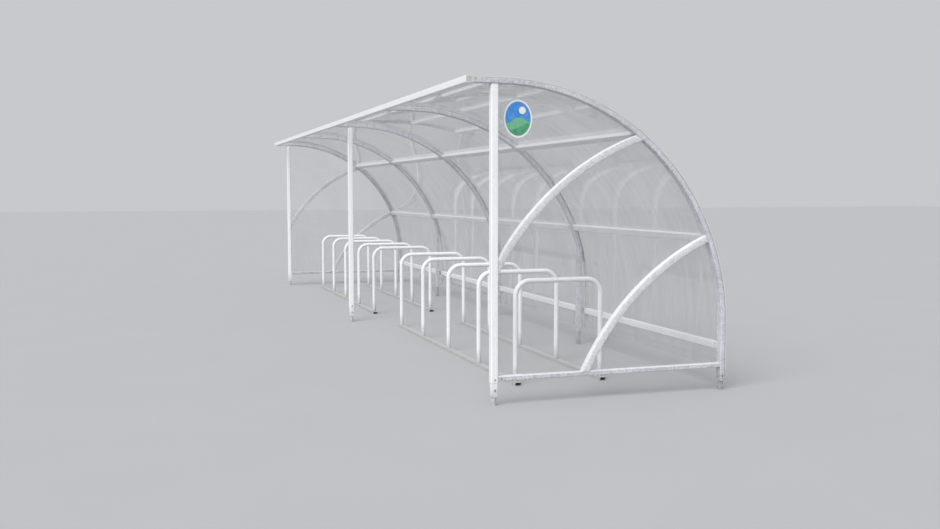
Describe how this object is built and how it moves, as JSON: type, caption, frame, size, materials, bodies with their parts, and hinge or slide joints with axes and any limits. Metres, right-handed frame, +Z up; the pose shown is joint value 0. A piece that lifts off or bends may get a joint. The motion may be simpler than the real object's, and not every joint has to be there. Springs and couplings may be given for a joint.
{
  "type": "bike shelter",
  "caption": "Open-fronted cycle shelter: curved clear roof and back on steel arches, braced end panels, and hoop racks on channels.",
  "frame": {"origin": "on the ground, at the centre of the shelter's box", "axes": "+X along the shelter towards its right-hand end as seen from the open front, +Y from the open front to the back, +Z up"},
  "size_m": [9.26, 1.946, 2.155],
  "materials": {
    "galvanised_frame": "hot-dip galvanised, mottled pale grey",
    "galvanised_post": "hot-dip galvanised, smooth and pale",
    "galvanised_rack": "hot-dip galvanised tube, satin",
    "clear_sheet": "clear, glossy, slightly weathered",
    "dark_plug": "black plastic plug, dirty"
  },
  "bodies": {
    "root": {"eave_beam": "galvanised_post", "eave_end_caps": "dark_plug", "front_post_right": "galvanised_post", "front_post_middle": "galvanised_post", "front_post_left": "galvanised_post", "front_foot_right": "galvanised_frame", "front_foot_middle": "galvanised_frame", "front_foot_left": "galvanised_frame", "end_arch_right": "galvanised_frame", "end_arch_left": "galvanised_frame", "inner_arch_1": "galvanised_frame", "inner_arch_2": "galvanised_frame", "inner_arch_3": "galvanised_frame", "rear_leg_1": "galvanised_frame", "rear_leg_2": "galvanised_frame", "rear_leg_3": "galvanised_frame", "rear_foot_right": "galvanised_frame", "rear_foot_left": "galvanised_frame", "inner_rear_feet": "galvanised_frame", "upper_purlins": "galvanised_frame", "middle_purlins": "galvanised_frame", "lower_purlins": "galvanised_frame", "bottom_rail_right": "galvanised_frame", "bottom_rail_left": "galvanised_frame", "rail_sleeve_right": "galvanised_frame", "rail_sleeve_left": "galvanised_frame", "upper_brace_right": "galvanised_frame", "upper_brace_left": "galvanised_frame", "lower_brace_right": "galvanised_frame", "lower_brace_left": "galvanised_frame", "roof_sheet_1": "clear_sheet", "roof_sheet_2": "clear_sheet", "roof_sheet_3": "clear_sheet", "roof_sheet_4": "clear_sheet", "end_panel_right": "clear_sheet", "end_panel_left": "clear_sheet", "cover_strips": "galvanised_frame", "rack_hoops_right": "galvanised_rack", "rack_hoops_left": "galvanised_rack", "rack_front_channel_right": "galvanised_rack", "rack_rear_channel_right": "galvanised_rack", "rack_front_channel_left": "galvanised_rack", "rack_rear_channel_left": "galvanised_rack"}
  },
  "joints": []
}
